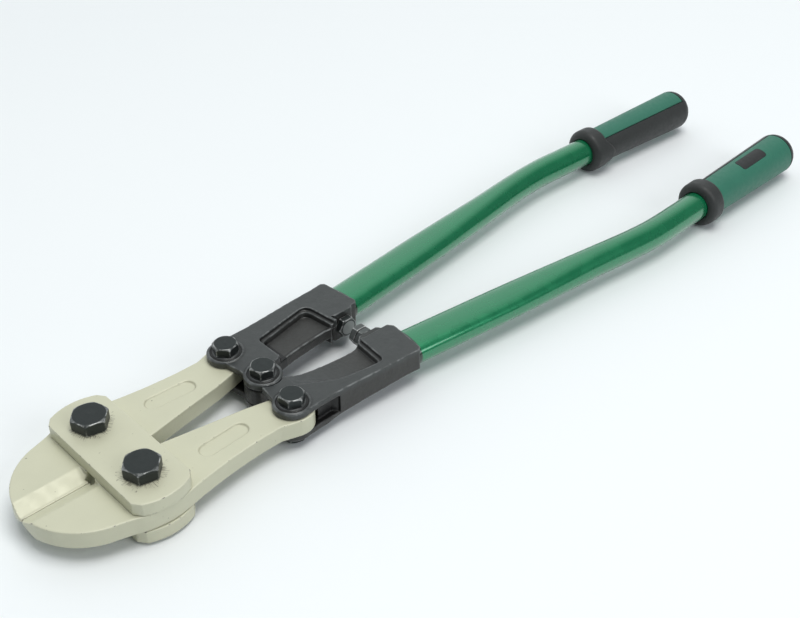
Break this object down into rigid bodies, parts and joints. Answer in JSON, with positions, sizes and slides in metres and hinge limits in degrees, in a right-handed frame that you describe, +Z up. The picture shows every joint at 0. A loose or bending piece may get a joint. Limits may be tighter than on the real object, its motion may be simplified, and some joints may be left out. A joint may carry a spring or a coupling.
{
  "type": "bolt cutters",
  "caption": "Compound-action bolt cutters with center-cut blades between two head plates, forged levers and bent tubular handles with two-part rubber grips.",
  "frame": {"origin": "under the middle of the tool's box, on the surface the closed tool lies on", "axes": "-X towards the nose, +X towards the handles' ends, +Y to the left handle, +Z up from the side with the bolt heads away from the surface"},
  "size_m": [0.61, 0.1348, 0.0378],
  "materials": {
    "champagne_paint": "satin champagne-beige paint on forged steel, chipped at edges",
    "charcoal_coat": "satin charcoal coat on a rough forged surface",
    "black_oxide": "black oxide steel, worn bright on the corners",
    "green_paint": "gloss green enamel",
    "green_rubber": "soft matt green rubber",
    "black_rubber": "soft matt black rubber"
  },
  "bodies": {
    "left_handle": {"lever_left": "charcoal_coat", "fork_bolt_left": "black_oxide", "fork_nut_left": "black_oxide", "centre_bolt": "black_oxide", "centre_nut": "black_oxide", "stop_screw_left": "black_oxide", "handle_tube_left": "green_paint", "grip_core_left": "black_rubber", "grip_shell_left": "green_rubber", "grip_badge_left": "black_rubber"},
    "right_handle": {"lever_right": "charcoal_coat", "fork_bolt_right": "black_oxide", "fork_nut_right": "black_oxide", "stop_screw_right": "black_oxide", "stop_nut_right": "black_oxide", "handle_tube_right": "green_paint", "grip_core_right": "black_rubber", "grip_shell_right": "green_rubber", "grip_badge_right": "black_rubber"},
    "left_blade": {"blade_left": "champagne_paint"},
    "right_blade": {"blade_right": "champagne_paint"},
    "head_plates": {"top_plate": "champagne_paint", "bottom_plate": "champagne_paint", "jaw_bolt_left": "black_oxide", "jaw_bolt_right": "black_oxide"}
  },
  "joints": [
    {"name": "handles_open", "type": "hinge", "parent": "left_handle", "child": "right_handle", "pos_m": [-0.1485, 0, 0.016], "axis": [0, 0, -1], "range_deg": [0, 80]},
    {"name": "left_blade_pivot", "type": "hinge", "parent": "left_handle", "child": "left_blade", "pos_m": [-0.152, 0.0307, 0.016], "axis": [0, 0, -1], "range_deg": [0, 45.2]},
    {"name": "right_blade_pivot", "type": "hinge", "parent": "right_handle", "child": "right_blade", "pos_m": [-0.152, -0.0307, 0.016], "axis": [0, 0, 1], "range_deg": [0, 45.2]},
    {"name": "left_jaw_pivot", "type": "hinge", "parent": "left_blade", "child": "head_plates", "pos_m": [-0.246, 0.025, 0.016], "axis": [0, 0, 1], "range_deg": [0, 5.2]}
  ],
  "couplings": [
    {"joint": "left_blade_pivot", "follows": "handles_open", "ratio": 0.5635},
    {"joint": "right_blade_pivot", "follows": "handles_open", "ratio": 0.5635},
    {"joint": "left_jaw_pivot", "follows": "handles_open", "ratio": 0.0635}
  ]
}
